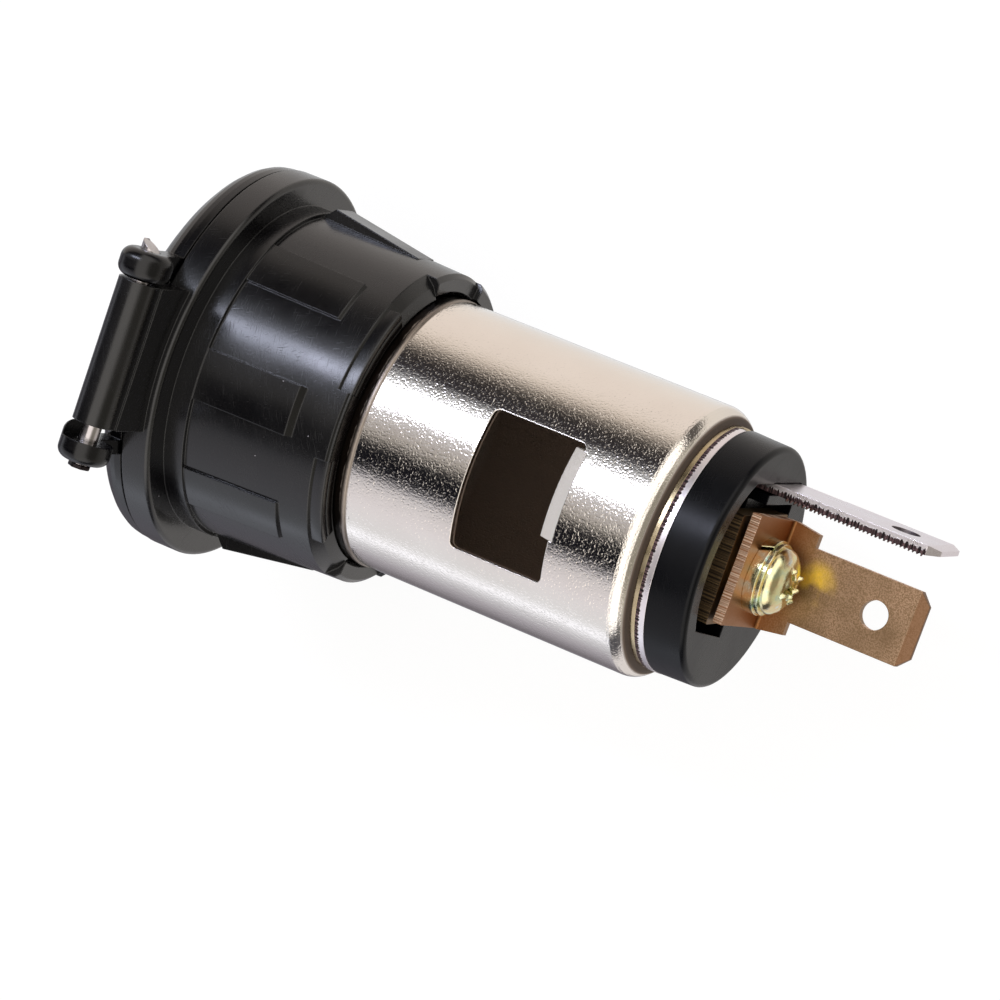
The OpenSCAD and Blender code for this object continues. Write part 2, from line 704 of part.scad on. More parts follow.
module terminal_screw() {
    head_r = head_d / 2;
    point = screw_d / 6;
    recess_turn = 30;
    tip_y = head_y - screw_len;
    recess_y = head_y + head_h - recess_depth;
    color([0.82, 0.83, 0.69]) difference() {
        turned(concat([[0, tip_y], [screw_d / 2 - point, tip_y], [screw_d / 2, tip_y + point],
                       [screw_d / 2, head_y], [head_r, head_y]],
                      arc(0, head_y + head_h - head_crown, head_r, head_crown, 0, 90)));
        intersection() {
            turned([[0, recess_y], [recess_w / 2, recess_y], [recess_span / 2, head_y + head_h],
                    [recess_span / 2, head_y + head_h + over], [0, head_y + head_h + over]]);
            for (turn = [recess_turn, recess_turn + 90]) rotate([0, turn, 0])
                translate([-recess_w / 2, recess_y, -recess_span / 2])
                    cube([recess_w, recess_depth + over, recess_span]);
        }
    }
}

module inner_insulator() {
    color([0.62, 0.45, 0.28]) difference() {
        union() {
            disc(disc_y, disc_t, disc_r);
            disc(disc_y, cap_y - disc_y, tube_r);
        }
        disc(disc_y - over, cap_y - disc_y + 2 * over, rivet_hole_r);
    }
}

module centre_contact() {
    flat_r = contact_r - contact_dish;
    color([0.79, 0.62, 0.34]) turned([[rivet_hole_r, disc_y], [rivet_hole_r, contact_y],
                                      [flat_r, contact_y], [contact_r, contact_y - contact_dish],
                                      [contact_r + contact_t, contact_y - contact_dish],
                                      [flat_r + contact_t, disc_y]]);
}

module contact_rivet() {
    blind_room = 0.8;
    blind_y = head_y - screw_len - blind_room;
    color([0.8, 0.64, 0.36]) turned(concat([[thread_r, foot_y], [thread_r, blind_y], [0, blind_y]],
                                           arc(0, contact_y, button_r, button_h, -90, 0),
                                           [[rivet_r, contact_y], [rivet_r, cap_face], [swage_r, cap_face],
                                            [swage_r, foot_y]]));
}

housing();
lid();
hinge_pin();
sleeve();
shim_ring();
ground_terminal();
end_cap();
contact_plate();
live_terminal();
spring_washer();
flat_washer();
terminal_screw();
inner_insulator();
centre_contact();
contact_rivet();
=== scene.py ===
# Car 12 V power socket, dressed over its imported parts. Metres, one shared frame:
# the plug axis is Y, the terminals point to +Y and the cover's hinge is on top.
import math

import bmesh
import bpy
from mathutils import Matrix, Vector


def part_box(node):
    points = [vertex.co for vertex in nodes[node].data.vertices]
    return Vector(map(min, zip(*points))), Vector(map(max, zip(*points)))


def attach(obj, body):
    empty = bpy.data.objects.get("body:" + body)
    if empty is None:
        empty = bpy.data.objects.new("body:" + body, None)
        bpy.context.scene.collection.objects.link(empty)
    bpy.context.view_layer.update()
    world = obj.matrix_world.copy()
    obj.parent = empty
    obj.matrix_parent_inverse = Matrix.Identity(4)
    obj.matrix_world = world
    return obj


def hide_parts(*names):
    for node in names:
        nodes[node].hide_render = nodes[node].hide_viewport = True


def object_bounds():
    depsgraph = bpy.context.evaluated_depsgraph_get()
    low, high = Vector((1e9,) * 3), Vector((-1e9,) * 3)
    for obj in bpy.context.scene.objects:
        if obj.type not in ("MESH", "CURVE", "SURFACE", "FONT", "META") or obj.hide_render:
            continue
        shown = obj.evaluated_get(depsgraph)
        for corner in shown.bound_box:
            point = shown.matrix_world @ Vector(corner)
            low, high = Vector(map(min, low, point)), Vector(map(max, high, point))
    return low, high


mm = 0.001

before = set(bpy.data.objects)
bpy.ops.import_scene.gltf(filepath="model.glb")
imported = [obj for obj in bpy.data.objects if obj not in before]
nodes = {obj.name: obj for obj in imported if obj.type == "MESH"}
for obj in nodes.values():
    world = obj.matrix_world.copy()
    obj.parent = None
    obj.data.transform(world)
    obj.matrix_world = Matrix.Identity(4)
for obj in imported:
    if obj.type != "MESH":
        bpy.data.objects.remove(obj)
cadLow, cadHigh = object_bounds()
print("frame loaded,", len(nodes), "parts")


def hexColour(text):
    # sRGB hex to the linear colour that a shader takes
    made = []
    for i in (1, 3, 5):
        c = int(text[i:i + 2], 16) / 255
        made.append(c / 12.92 if c <= 0.04045 else ((c + 0.055) / 1.055) ** 2.4)
    return (*made, 1)


def perMetre(sizeMm):
    # texture scale that makes one feature this many millimetres wide
    return 1 / (sizeMm * mm)


def addNode(tree, kind, inputs=None, stops=None, **settings):
    # one node: its settings, its inputs as plain values, nodes or sockets, and a ramp's colour stops
    made = tree.nodes.new("ShaderNode" + kind)
    for key, value in settings.items():
        setattr(made, key, value)
    for key, value in (inputs or {}).items():
        if isinstance(value, bpy.types.Node):
            value = next(s for s in value.outputs if s.enabled)
        if isinstance(value, bpy.types.NodeSocket):
            tree.links.new(value, made.inputs[key])
        else:
            made.inputs[key].default_value = value
    if stops:
        elements = made.color_ramp.elements
        elements.remove(elements[1])
        elements[0].position, elements[0].color = stops[0]
        for position, colour in stops[1:]:
            elements.new(position).color = colour
    return made


def newMaterial(name):
    made = bpy.data.materials.new(name)
    made.use_nodes = True
    made.node_tree.nodes.clear()
    return made, made.node_tree


def shade(tree, inputs):
    shader = addNode(tree, "BsdfPrincipled", inputs)
    addNode(tree, "OutputMaterial", {"Surface": shader})


plastic = {
    "flow": 6,          # mm, how wide the clouds of the moulding's flow are
    "grain": 0.2,       # mm, the satin grain of the tool
    "grainDepth": 0.003,
    "edge": 0.13,       # mm, radius that moulding leaves on every edge
    "speck": 1.6,       # mm between specks of dust
    "hair": 0.07,       # mm, width of a hair scratch
    "hairLength": 1.4,  # mm
    "hairTurn": (0.35, 0.3, 0.5),     # how the scratches round the axis lean
    "markTurn": (-0.3, 0.5, 0.25),    # and those along it
    "scratchDepth": 0.0022,           # mm
    "dustSize": 0.04,                 # share of a cell
    "dustShare": 0.28,                # share of the cells that hold a speck
    "dustColour": "#8f8c92",
}


def mouldedNylon(name, dark, light, rough, gloss, p=plastic):
    # PA66, injection moulded in a polished tool: near black and glossy, so it shows the lamps as
    # streaks, broken by flow clouds, hair scratches and a little dust
    made, tree = newMaterial(name)
    where = addNode(tree, "TexCoord").outputs["Object"]
    flow = addNode(tree, "TexNoise", {"Vector": where, "Scale": perMetre(p["flow"]), "Detail": 5.0})
    grain = addNode(tree, "TexNoise", {"Vector": where, "Scale": perMetre(p["grain"]), "Detail": 2.0})
    soft = addNode(tree, "Bevel", {"Radius": p["edge"] * mm}, samples=6)
    colour = addNode(tree, "Mix", {0: flow, 6: hexColour(dark), 7: hexColour(light)}, data_type="RGBA")
    # dust: one small pale dot in a few of the cells
    cells = addNode(tree, "TexVoronoi", {"Vector": where, "Scale": perMetre(p["speck"])})
    dot = addNode(tree, "Math", {0: cells.outputs["Distance"], 1: p["dustSize"]}, operation="LESS_THAN")
    chosen = addNode(tree, "SeparateColor", {0: cells.outputs["Color"]})
    chosen = addNode(tree, "Math", {0: chosen.outputs[0], 1: 1 - p["dustShare"]}, operation="GREATER_THAN")
    dust = addNode(tree, "Math", {0: dot, 1: chosen}, operation="MULTIPLY")
    colour = addNode(tree, "Mix", {0: dust, 6: colour, 7: hexColour(p["dustColour"])}, data_type="RGBA")
    # hair scratches, drawn wider than real ones so that they show: the peaks of stretched noises
    thin, long = p["hair"] * mm, p["hairLength"] * mm
    around = addNode(tree, "Mapping", {"Vector": where, "Scale": (long, thin, long),
                                       "Rotation": p["hairTurn"]}, vector_type="TEXTURE")
    along = addNode(tree, "Mapping", {"Vector": where, "Scale": (thin, long, thin),
                                      "Rotation": p["markTurn"]}, vector_type="TEXTURE")
    hairs = addNode(tree, "TexNoise", {"Vector": around, "Scale": 1.0, "Detail": 1.0})
    marks = addNode(tree, "TexNoise", {"Vector": along, "Scale": 1.0, "Detail": 0.0})
    hairs = addNode(tree, "MapRange", {"Value": hairs, "From Min": 0.6, "From Max": 0.85})
    marks = addNode(tree, "MapRange", {"Value": marks, "From Min": 0.7, "From Max": 0.9})
    scratch = addNode(tree, "Math", {0: hairs, 1: marks}, operation="MAXIMUM")
    roughness = addNode(tree, "MapRange", {"Value": flow, "From Min": 0.3, "From Max": 0.7,
                                           "To Min": rough - 0.05, "To Max": rough + 0.07})
    roughness = addNode(tree, "Math", {0: scratch, 1: 0.12, 2: roughness}, operation="MULTIPLY_ADD")
    roughness = addNode(tree, "Math", {0: dust, 1: 0.4, 2: roughness}, operation="MULTIPLY_ADD")
    shape = addNode(tree, "Bump", {"Height": grain, "Distance": p["grainDepth"] * mm, "Normal": soft})
    shape = addNode(tree, "Bump", {"Height": scratch, "Distance": p["scratchDepth"] * mm, "Normal": shape},
                    invert=True)
    shape = addNode(tree, "Bump", {"Height": flow, "Distance": 0.05 * mm, "Strength": 0.3, "Normal": shape})
    shade(tree, {"Base Color": colour, "Roughness": roughness, "IOR": 1.5, "Specular IOR Level": gloss,
                 "Normal": shape})
    return made


plating = {
    "pale": "#f3ede5",
    "deep": "#e8e0d7",
    "peel": 0.15,        # mm, the orange peel that breaks up the edges of each reflection
    "peelDepth": 0.013,
    "pit": 0.2,          # mm, the fine pits that sparkle
    "pitDepth": 0.0095,
    "cloud": 5,          # mm
    "wave": 1.1,         # mm, the waves that drawing left
    "edge": 0.12,        # mm, radius left on every edge
    "collarShade": "#191411",       # painted shade: the black collar's dark reflection and shadow in the corner behind the collar
    "collarShadeTo": 15.06,         # mm behind the panel
    "bead": (15.06, 15.62),  # mm, the rolled bead, where the plating is scuffed
    "inside": "#927e6f",     # the thin, dull plating deep inside the tube
    "insideRadius": 11.0,    # mm
    "insideFrom": 15.5,      # mm behind the panel, where the plating turns dull
    "fold": (31.2, 33.95),   # mm, where the tongue lies along the tube
    "foldRadius": (9.8, 11.49),   # mm, how deep it lies
    "foldSide": 2.25,        # mm, how far it reaches towards +X
    "foldAbove": 8,          # mm
    "foldColour": "#efeae2",
    "scuffColour": "#6b5d52",
    "end": "#382e26",        # painted shade on the rear end of the tube, beside the rings
    "endDepth": (0.42, 0.2), # mm in front of that end, where the painted shade starts and where it is full
}


def nickelPlate(name, p=plating):
    # bright nickel on deep-drawn brass: a warm mirror outside, speckled by the strip's orange peel
    # and fine pits, which are drawn coarser than real ones so that they show, with painted shade
    # beside the collar and at its rear end, and thin and brown inside
    made, tree = newMaterial(name)
    where = addNode(tree, "TexCoord").outputs["Object"]
    cloud = addNode(tree, "TexNoise", {"Vector": where, "Scale": perMetre(p["cloud"]), "Detail": 4.0})
    peel = addNode(tree, "TexNoise", {"Vector": where, "Scale": perMetre(p["peel"]), "Detail": 3.0})
    waves = addNode(tree, "TexNoise", {"Vector": where, "Scale": perMetre(p["wave"]), "Detail": 2.0})
    pit = addNode(tree, "TexNoise", {"Vector": where, "Scale": perMetre(p["pit"]), "Detail": 1.0})
    pit = addNode(tree, "MapRange", {"Value": pit, "From Min": 0.52, "From Max": 0.74,
                                     "To Min": 1, "To Max": 0})
    colour = addNode(tree, "Mix", {0: cloud, 6: hexColour(p["deep"]), 7: hexColour(p["pale"])},
                     data_type="RGBA")
    axis = addNode(tree, "SeparateXYZ", {0: where})
    across = addNode(tree, "CombineXYZ", {0: axis.outputs["X"], 2: axis.outputs["Z"]})
    radius = addNode(tree, "VectorMath", {0: across}, operation="LENGTH").outputs["Value"]
    inner = addNode(tree, "MapRange", {"Value": radius, "From Min": (p["insideRadius"] + 0.05) * mm,
                                       "From Max": (p["insideRadius"] - 0.1) * mm})
    deep = addNode(tree, "MapRange", {"Value": axis.outputs["Y"], "From Min": (p["insideFrom"] - 3) * mm,
                                      "From Max": (p["insideFrom"] + 2) * mm})
    dull = addNode(tree, "Math", {0: inner, 1: deep}, operation="MULTIPLY")
    # the tongue keeps the satin face that folding stretched
    past = addNode(tree, "Math", {0: axis.outputs["Y"], 1: p["fold"][0] * mm}, operation="GREATER_THAN")
    before = addNode(tree, "Math", {0: axis.outputs["Y"], 1: p["fold"][1] * mm}, operation="LESS_THAN")
    below = addNode(tree, "Math", {0: radius, 1: p["foldRadius"][1] * mm}, operation="LESS_THAN")
    under = addNode(tree, "Math", {0: radius, 1: p["foldRadius"][0] * mm}, operation="GREATER_THAN")
    near = addNode(tree, "Math", {0: axis.outputs["X"], 1: p["foldSide"] * mm}, operation="LESS_THAN")
    above = addNode(tree, "Math", {0: axis.outputs["Z"], 1: p["foldAbove"] * mm}, operation="GREATER_THAN")
    fold = addNode(tree, "Math", {0: past, 1: before}, operation="MULTIPLY")
    for limit in (below, under, above, near):
        fold = addNode(tree, "Math", {0: fold, 1: limit}, operation="MULTIPLY")
    outer = addNode(tree, "Math", {0: 1.0, 1: fold}, operation="SUBTRACT")
    dull = addNode(tree, "Math", {0: dull, 1: outer}, operation="MULTIPLY")
    # the corner behind the collar: its ragged painted shade, and the scuffed bead
    # painted shade: a dark band on the outer tube where it mirrors the collar
    ragged = addNode(tree, "Math", {0: waves, 1: 0.5 * mm, 2: axis.outputs["Y"]}, operation="MULTIPLY_ADD")
    collarShade = addNode(tree, "MapRange", {"Value": ragged, "From Min": (p["collarShadeTo"] + 0.3) * mm,
                                      "From Max": (p["collarShadeTo"] + 0.2) * mm})
    outside = addNode(tree, "Math", {0: 1.0, 1: inner}, operation="SUBTRACT")
    collarShade = addNode(tree, "Math", {0: collarShade, 1: outside}, operation="MULTIPLY")
    scuffed = addNode(tree, "MapRange", {"Value": axis.outputs["Y"], "From Min": (p["bead"][1] + 0.1) * mm,
                                         "From Max": p["bead"][1] * mm})
    colour = addNode(tree, "Mix", {0: dull, 6: colour, 7: hexColour(p["inside"])}, data_type="RGBA")
    colour = addNode(tree, "Mix", {0: fold, 6: colour, 7: hexColour(p["foldColour"])}, data_type="RGBA")
    worn = addNode(tree, "Math", {0: scuffed, 1: 0.8}, operation="MULTIPLY")
    colour = addNode(tree, "Mix", {0: worn, 6: colour, 7: hexColour(p["scuffColour"])}, data_type="RGBA")
    colour = addNode(tree, "Mix", {0: collarShade, 6: colour, 7: hexColour(p["collarShade"])}, data_type="RGBA")
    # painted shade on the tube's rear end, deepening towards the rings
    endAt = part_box("sleeve")[1][1]
    end = addNode(tree, "MapRange", {"Value": axis.outputs["Y"], "From Min": endAt - p["endDepth"][0] * mm,
                                     "From Max": endAt - p["endDepth"][1] * mm, "To Max": 0.85})
    colour = addNode(tree, "Mix", {0: end, 6: colour, 7: hexColour(p["end"])}, data_type="RGBA")
    rough = addNode(tree, "MapRange", {"Value": cloud, "From Min": 0.3, "From Max": 0.7, "To Min": 0.04,
                                       "To Max": 0.08})
    rough = addNode(tree, "Math", {0: scuffed, 1: 0.3, 2: rough}, operation="MULTIPLY_ADD")
    rough = addNode(tree, "Math", {0: end, 1: 0.3, 2: rough}, operation="MULTIPLY_ADD")
    rough = addNode(tree, "Mix", {0: dull, 2: rough, 3: 0.75}, data_type="FLOAT")
    rough = addNode(tree, "Mix", {0: fold, 2: rough, 3: 0.5}, data_type="FLOAT")
    metal = addNode(tree, "Math", {0: dull, 1: -0.9, 2: 1.0}, operation="MULTIPLY_ADD")
    metal = addNode(tree, "Math", {0: fold, 1: -0.75, 2: metal}, operation="MULTIPLY_ADD")
    soft = addNode(tree, "Bevel", {"Radius": p["edge"] * mm}, samples=6)
    shape = addNode(tree, "Bump", {"Height": waves, "Distance": 0.012 * mm, "Strength": 0.5, "Normal": soft})
    shape = addNode(tree, "Bump", {"Height": peel, "Distance": p["peelDepth"] * mm, "Normal": shape})
    shape = addNode(tree, "Bump", {"Height": pit, "Distance": p["pitDepth"] * mm, "Strength": 0.8,
                                   "Normal": shape})
    shade(tree, {"Base Color": colour, "Metallic": metal, "Roughness": rough, "Normal": shape})
    return made


groundSheet = {
    "pale": "#f6f1f6", "deep": "#e2dae0", "rough": 0.3,
    "burnished": "#efe8ea", "torn": ("#1f1516", "#6d5557"),   # the two zones of a sheared edge
    "shearedAlong": "Z",    # the blade's edges face this way
    "bendAt": 42.35,        # mm behind the panel, below which the sheet lies flat
    "tooth": 0.36,          # mm
    "ring": 10.35,          # mm, radius of the flat part's rim
    "tornFrom": -6.88,      # mm, where across the blade's edge the torn zone starts
    "tornTo": 41.82,        # mm, where across the ring's rim it ends
    "hole": (56.35, -2.5, 1.215),   # mm, Y, Z and radius of the detent hole's wall
    "holeColour": "#8d858a",        # which shows dull
}
liveSheet = {
    "pale": "#b9987a", "deep": "#82684b", "rough": 0.42,
    "burnished": "#f0cdb0", "torn": ("#b27f5c", "#f6d8bf"),
    "shearedAlong": "X",
    "bendAt": 47.06,
    "tooth": 0.2,
    "ring": None,
    "tornFrom": None,
    "footReflection": (47.0, 50.6),   # mm, where a painted red reflection of the foot lies on the blade's face
    "footReflectionColour": "#9c6536",
    "coined": 58.95,        # mm, where the tip is pressed thin
    "coinedColour": "#6e4e38",
    "screwReflectionColour": "#f2c740",
    "glow": (-0.5, 50.4, -3.4, 2.2),  # mm, place and reach of the painted reflection of the screw
}
plateSheet = {
    "pale": "#8f6f47", "deep": "#5f482f", "rough": 0.45,
    "burnished": "#7a6040", "torn": ("#2f2419", "#7d6647"),
    "shearedAlong": None,
    "bendAt": 100,
    "tooth": 0.26,
    "ring": None,
    "tornFrom": None,
}


def rolledSheet(name, p):
    # rolled sheet, blanked: satin faces with a fine rolling grain, and sheared edges with a
    # burnished zone and a zone that the punch tore into fine teeth
    made, tree = newMaterial(name)
    where = addNode(tree, "TexCoord").outputs["Object"]
    axis = addNode(tree, "SeparateXYZ", {0: where})
    along = addNode(tree, "Mapping", {"Vector": where, "Scale": (1, 0.12, 1)})
    lines = addNode(tree, "TexNoise", {"Vector": along, "Scale": perMetre(0.2), "Detail": 3.0})
    grain = addNode(tree, "TexNoise", {"Vector": where, "Scale": perMetre(0.13), "Detail": 2.0})
    cloud = addNode(tree, "TexNoise", {"Vector": where, "Scale": perMetre(2.6), "Detail": 5.0})
    colour = addNode(tree, "Mix", {0: cloud, 6: hexColour(p["deep"]), 7: hexColour(p["pale"])},
                     data_type="RGBA")
    fleck = addNode(tree, "MapRange", {"Value": grain, "From Min": 0.42, "From Max": 0.58, "To Max": 0.85})
    colour = addNode(tree, "Mix", {0: fleck, 6: colour, 7: hexColour(p["deep"])}, data_type="RGBA")
    # the sheared edges: every narrow side of the flat part, and the two long sides of the blade
    flat = addNode(tree, "NewGeometry").outputs["True Normal"]
    facing = addNode(tree, "SeparateXYZ", {0: flat})
    level = addNode(tree, "Math", {0: facing.outputs["Y"]}, operation="ABSOLUTE")
    level = addNode(tree, "Math", {0: level, 1: 0.3}, operation="LESS_THAN")
    upright = addNode(tree, "Math", {0: axis.outputs["Y"], 1: p["bendAt"] * mm}, operation="GREATER_THAN")
    side = addNode(tree, "Math", {0: facing.outputs[p["shearedAlong"] or "X"]}, operation="ABSOLUTE")
    side = addNode(tree, "Math", {0: side, 1: 0.8}, operation="GREATER_THAN")
    edge = addNode(tree, "Mix", {0: upright, 2: level, 3: side}, data_type="FLOAT")
    # teeth run along the edge: by angle on a ring, else across the flat part, and along the blade
    if p["ring"]:
        turn = addNode(tree, "Math", {0: axis.outputs["X"], 1: axis.outputs["Z"]}, operation="ARCTAN2")
        run = addNode(tree, "Math", {0: turn, 1: p["ring"] * mm}, operation="MULTIPLY")
    else:
        run = axis.outputs["X"]
    run = addNode(tree, "Mix", {0: upright, 2: run, 3: axis.outputs["Y"]}, data_type="FLOAT")
    run = addNode(tree, "Math", {0: run, 1: perMetre(p["tooth"])}, operation="MULTIPLY")
    teeth = addNode(tree, "TexNoise", {"W": run, "Scale": 1.6, "Detail": 1.5}, noise_dimensions="1D")
    teeth = addNode(tree, "MapRange", {"Value": teeth, "From Min": 0.4, "From Max": 0.62})
    torn = addNode(tree, "Mix", {0: teeth, 6: hexColour(p["torn"][0]), 7: hexColour(p["torn"][1])},
                   data_type="RGBA")
    zone = edge
    if p["tornFrom"] is not None:
        jagged = addNode(tree, "Math", {0: teeth, 1: -0.22 * mm, 2: axis.outputs["X"]},
                         operation="MULTIPLY_ADD")
        zone = addNode(tree, "MapRange", {"Value": jagged, "From Min": (p["tornFrom"] - 0.03) * mm,
                                          "From Max": (p["tornFrom"] + 0.03) * mm})
        rim = addNode(tree, "Math", {0: teeth, 1: 0.12 * mm, 2: axis.outputs["Y"]}, operation="MULTIPLY_ADD")
        rim = addNode(tree, "MapRange", {"Value": rim, "From Min": (p["tornTo"] + 0.08) * mm,
                                         "From Max": (p["tornTo"] + 0.02) * mm})
        zone = addNode(tree, "Mix", {0: upright, 2: rim, 3: zone}, data_type="FLOAT")
        zone = addNode(tree, "Math", {0: zone, 1: edge}, operation="MULTIPLY")
    colour = addNode(tree, "Mix", {0: edge, 6: colour, 7: hexColour(p["burnished"])}, data_type="RGBA")
    colour = addNode(tree, "Mix", {0: zone, 6: colour, 7: torn}, data_type="RGBA")
    if "hole" in p:
        y, z, radius = (v * mm for v in p["hole"])
        away = addNode(tree, "VectorMath", {0: where, 1: (0, y, z)}, operation="SUBTRACT")
        away = addNode(tree, "VectorMath", {0: away, 1: (0, 1, 1)}, operation="MULTIPLY")
        away = addNode(tree, "VectorMath", {0: away}, operation="LENGTH").outputs["Value"]
        wall = addNode(tree, "Math", {0: away, 1: radius}, operation="LESS_THAN")
        colour = addNode(tree, "Mix", {0: wall, 6: colour, 7: hexColour(p["holeColour"])}, data_type="RGBA")
    if "footReflection" in p:
        # painted reflection of the red foot on the blade's face, strongest at the bend
        face = addNode(tree, "Math", {0: 1.0, 1: edge}, operation="SUBTRACT")
        warm = addNode(tree, "MapRange", {"Value": axis.outputs["Y"], "From Min": p["footReflection"][1] * mm,
                                          "From Max": p["footReflection"][0] * mm, "To Max": 0.75},
                       interpolation_type="SMOOTHSTEP")
        warm = addNode(tree, "Math", {0: warm, 1: face}, operation="MULTIPLY")
        colour = addNode(tree, "Mix", {0: warm, 6: colour, 7: hexColour(p["footReflectionColour"])}, data_type="RGBA")
        # painted reflection: the gold screw mirrored on the blade's face, broken up by the cloud
        screwReflection = addNode(tree, "VectorMath", {0: where, 1: [v * mm for v in p["glow"][:3]]}, operation="DISTANCE")
        screwReflection = addNode(tree, "MapRange", {"Value": screwReflection.outputs["Value"], "From Min": p["glow"][3] * mm,
                                          "From Max": 0.4 * mm, "To Max": 0.9}, interpolation_type="SMOOTHSTEP")
        broken = addNode(tree, "MapRange", {"Value": cloud, "From Min": 0.38, "From Max": 0.58})
        screwReflection = addNode(tree, "Math", {0: screwReflection, 1: broken}, operation="MULTIPLY")
        screwReflection = addNode(tree, "Math", {0: screwReflection, 1: face}, operation="MULTIPLY")
        colour = addNode(tree, "Mix", {0: screwReflection, 6: colour, 7: hexColour(p["screwReflectionColour"])}, data_type="RGBA")
        pressed = addNode(tree, "Math", {0: axis.outputs["Y"], 1: p["coined"] * mm}, operation="GREATER_THAN")
        pressed = addNode(tree, "Math", {0: pressed, 1: 0.7}, operation="MULTIPLY")
        colour = addNode(tree, "Mix", {0: pressed, 6: colour, 7: hexColour(p["coinedColour"])},
                         data_type="RGBA")
    roughness = addNode(tree, "MapRange", {"Value": cloud, "From Min": 0.3, "From Max": 0.7,
                                           "To Min": p["rough"] - 0.06, "To Max": p["rough"] + 0.08})
    roughness = addNode(tree, "Mix", {0: zone, 2: roughness, 3: 0.5}, data_type="FLOAT")
    metallic = addNode(tree, "Math", {0: zone, 1: -0.35, 2: 1.0}, operation="MULTIPLY_ADD")
    soft = addNode(tree, "Bevel", {"Radius": 0.07 * mm}, samples=6)
    shape = addNode(tree, "Bump", {"Height": lines, "Distance": 0.005 * mm, "Strength": 0.8, "Normal": soft})
    shape = addNode(tree, "Bump", {"Height": grain, "Distance": 0.01 * mm, "Normal": shape})
    deepTeeth = addNode(tree, "Math", {0: teeth, 1: zone}, operation="MULTIPLY")
    shape = addNode(tree, "Bump", {"Height": deepTeeth, "Distance": 0.08 * mm, "Normal": shape})
    shade(tree, {"Base Color": colour, "Metallic": metallic, "Roughness": roughness, "Normal": shape})
    return made


def zincFinish(name):
    # zinc plate, yellow passivated: shiny pale green gold that drifts towards pink and blue
    made, tree = newMaterial(name)
    where = addNode(tree, "TexCoord").outputs["Object"]
    cloud = addNode(tree, "TexNoise", {"Vector": where, "Scale": perMetre(1.5), "Detail": 3.0})
    fine = addNode(tree, "TexNoise", {"Vector": where, "Scale": perMetre(0.2), "Detail": 3.0})
    colour = addNode(tree, "ValToRGB", {0: cloud}, [(0.3, hexColour("#b9d6c6")), (0.45, hexColour("#e2dfae")),
                                                    (0.58, hexColour("#e6cfa0")), (0.7, hexColour("#d5ece8"))])
    rough = addNode(tree, "MapRange", {"Value": fine, "From Min": 0.3, "From Max": 0.7, "To Min": 0.07,
                                       "To Max": 0.2})
    soft = addNode(tree, "Bevel", {"Radius": 0.12 * mm}, samples=6)
    shape = addNode(tree, "Bump", {"Height": fine, "Distance": 0.012 * mm, "Strength": 0.8, "Normal": soft})
    shade(tree, {"Base Color": colour, "Metallic": 1.0, "Roughness": rough, "Normal": shape})
    return made


def turnedMetal(name, pale, deep, rough, cloudMm=1.6):
    # drawn or turned metal: satin, slightly clouded, with fine handling marks
    made, tree = newMaterial(name)
    where = addNode(tree, "TexCoord").outputs["Object"]
    cloud = addNode(tree, "TexNoise", {"Vector": where, "Scale": perMetre(cloudMm), "Detail": 4.0})
    fine = addNode(tree, "TexNoise", {"Vector": where, "Scale": perMetre(0.18), "Detail": 2.0})
    colour = addNode(tree, "Mix", {0: cloud, 6: hexColour(deep), 7: hexColour(pale)}, data_type="RGBA")
    roughness = addNode(tree, "MapRange", {"Value": cloud, "From Min": 0.3, "From Max": 0.7,
                                           "To Min": rough - 0.06, "To Max": rough + 0.08})
    soft = addNode(tree, "Bevel", {"Radius": 0.08 * mm}, samples=6)
    shape = addNode(tree, "Bump", {"Height": fine, "Distance": 0.008 * mm, "Strength": 0.7, "Normal": soft})
    shade(tree, {"Base Color": colour, "Metallic": 1.0, "Roughness": roughness, "Normal": shape})
    return made


def phenolicSheet(name):
    # fabric-filled phenolic: brown and dull, with the weave showing as a coarse mottle
    made, tree = newMaterial(name)
    where = addNode(tree, "TexCoord").outputs["Object"]
    weave = addNode(tree, "TexNoise", {"Vector": where, "Scale": perMetre(0.8), "Detail": 3.0})
    colour = addNode(tree, "Mix", {0: weave, 6: hexColour("#6b4529"), 7: hexColour("#8d5f39")},
                     data_type="RGBA")
    soft = addNode(tree, "Bevel", {"Radius": 0.1 * mm}, samples=6)
    shape = addNode(tree, "Bump", {"Height": weave, "Distance": 0.02 * mm, "Strength": 0.5, "Normal": soft})
    shade(tree, {"Base Color": colour, "Roughness": 0.55, "IOR": 1.6, "Normal": shape})
    return made


finishes = {
    "housing": mouldedNylon("mouldedNylonCollar", "#040405", "#0b0a0d", 0.22, 0.6),
    "lid": mouldedNylon("mouldedNylonCover", "#040405", "#0a090c", 0.19, 0.42),
    "end_cap": mouldedNylon("mouldedNylonCap", "#030407", "#08090e", 0.27, 0.17),
    "hinge_pin": turnedMetal("drawnSteelPin", "#e6e0e0", "#8f8a8c", 0.2),
    "sleeve": nickelPlate("brightNickelPlate"),
    "shim_ring": turnedMetal("brassShim", "#e6d6b4", "#a08a60", 0.25),
    "ground_terminal": rolledSheet("tinPlatedSheet", groundSheet),
    "contact_plate": rolledSheet("dullBrassPlate", plateSheet),
    "live_terminal": rolledSheet("rolledBrassTerminal", liveSheet),
    "spring_washer": zincFinish("zincSpringWasher"),
    "flat_washer": zincFinish("zincFlatWasher"),
    "terminal_screw": zincFinish("zincScrew"),
    "inner_insulator": phenolicSheet("phenolicInsulator"),
    "centre_contact": turnedMetal("brassContact", "#cfa867", "#a07c42", 0.3),
    "contact_rivet": turnedMetal("brassRivet", "#c9a05c", "#94703a", 0.28),
}
for name, made in finishes.items():
    nodes[name].data.materials.clear()
    nodes[name].data.materials.append(made)
print("finishes on", len(finishes), "parts")


smoothBelow = 32   # degrees, edges sharper than this stay sharp


